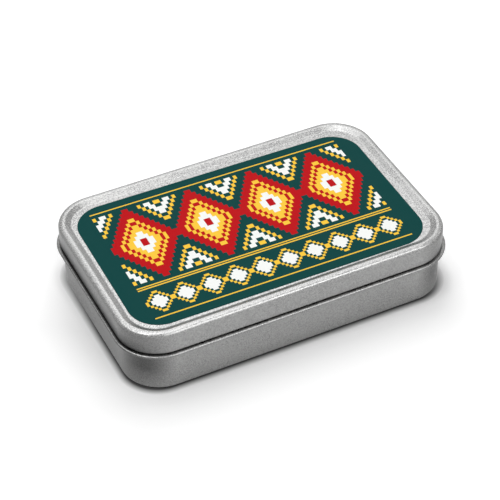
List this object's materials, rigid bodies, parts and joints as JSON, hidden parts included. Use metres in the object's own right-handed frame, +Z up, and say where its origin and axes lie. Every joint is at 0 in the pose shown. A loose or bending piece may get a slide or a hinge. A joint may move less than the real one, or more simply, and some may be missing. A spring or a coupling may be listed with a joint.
{
  "type": "tinder box",
  "caption": "Flat rounded tinplate box with a hinged, stepped lid, a beaded tray, and a fire-lighting kit of striker, scraper, tinder, candle and matches inside.",
  "frame": {"origin": "middle of the tray's flat underside", "axes": "+X along the length, +Y towards the hinged back, +Z up"},
  "size_m": [0.1162, 0.0754, 0.0236],
  "materials": {
    "tinplate": "satin tinplate with a fine grain",
    "pin_wire": "drawn wire",
    "label": "printed label, satin",
    "striking_paper": "abrasive coated paper",
    "cup_foil": "drawn foil",
    "wax": "candle wax",
    "wick": "cotton",
    "handle_plastic": "moulded plastic",
    "fire_steel": "dark coated rod",
    "scraper_steel": "ground strip steel",
    "tinder": "pressed wood fibre and wax",
    "match_wood": "aspen splint",
    "match_head": "match compound",
    "band_paper": "kraft paper"
  },
  "bodies": {
    "tray": {"base_tray": "tinplate", "hinge_pin_left": "pin_wire", "hinge_pin_right": "pin_wire", "match_band": "band_paper", "match_head_1": "match_head", "match_head_10": "match_head", "match_head_2": "match_head", "match_head_3": "match_head", "match_head_4": "match_head", "match_head_5": "match_head", "match_head_6": "match_head", "match_head_7": "match_head", "match_head_8": "match_head", "match_head_9": "match_head", "match_stick_1": "match_wood", "match_stick_10": "match_wood", "match_stick_2": "match_wood", "match_stick_3": "match_wood", "match_stick_4": "match_wood", "match_stick_5": "match_wood", "match_stick_6": "match_wood", "match_stick_7": "match_wood", "match_stick_8": "match_wood", "match_stick_9": "match_wood", "scraper": "scraper_steel", "striker_handle": "handle_plastic", "striker_rod": "fire_steel", "tealight_cup": "cup_foil", "tealight_wax": "wax", "tealight_wick": "wick", "tinder_block_1": "tinder", "tinder_block_2": "tinder", "tinder_block_3": "tinder", "tinder_block_4": "tinder", "wick_holder": "cup_foil"},
    "lid": {"lid": "tinplate", "lid_label": "label", "striking_strip": "striking_paper"}
  },
  "joints": [
    {"name": "lid_hinge", "type": "hinge", "parent": "tray", "child": "lid", "pos_m": [0, 0.037, 0.0163], "axis": [-1, 0, 0], "range_deg": [0, 110]}
  ]
}
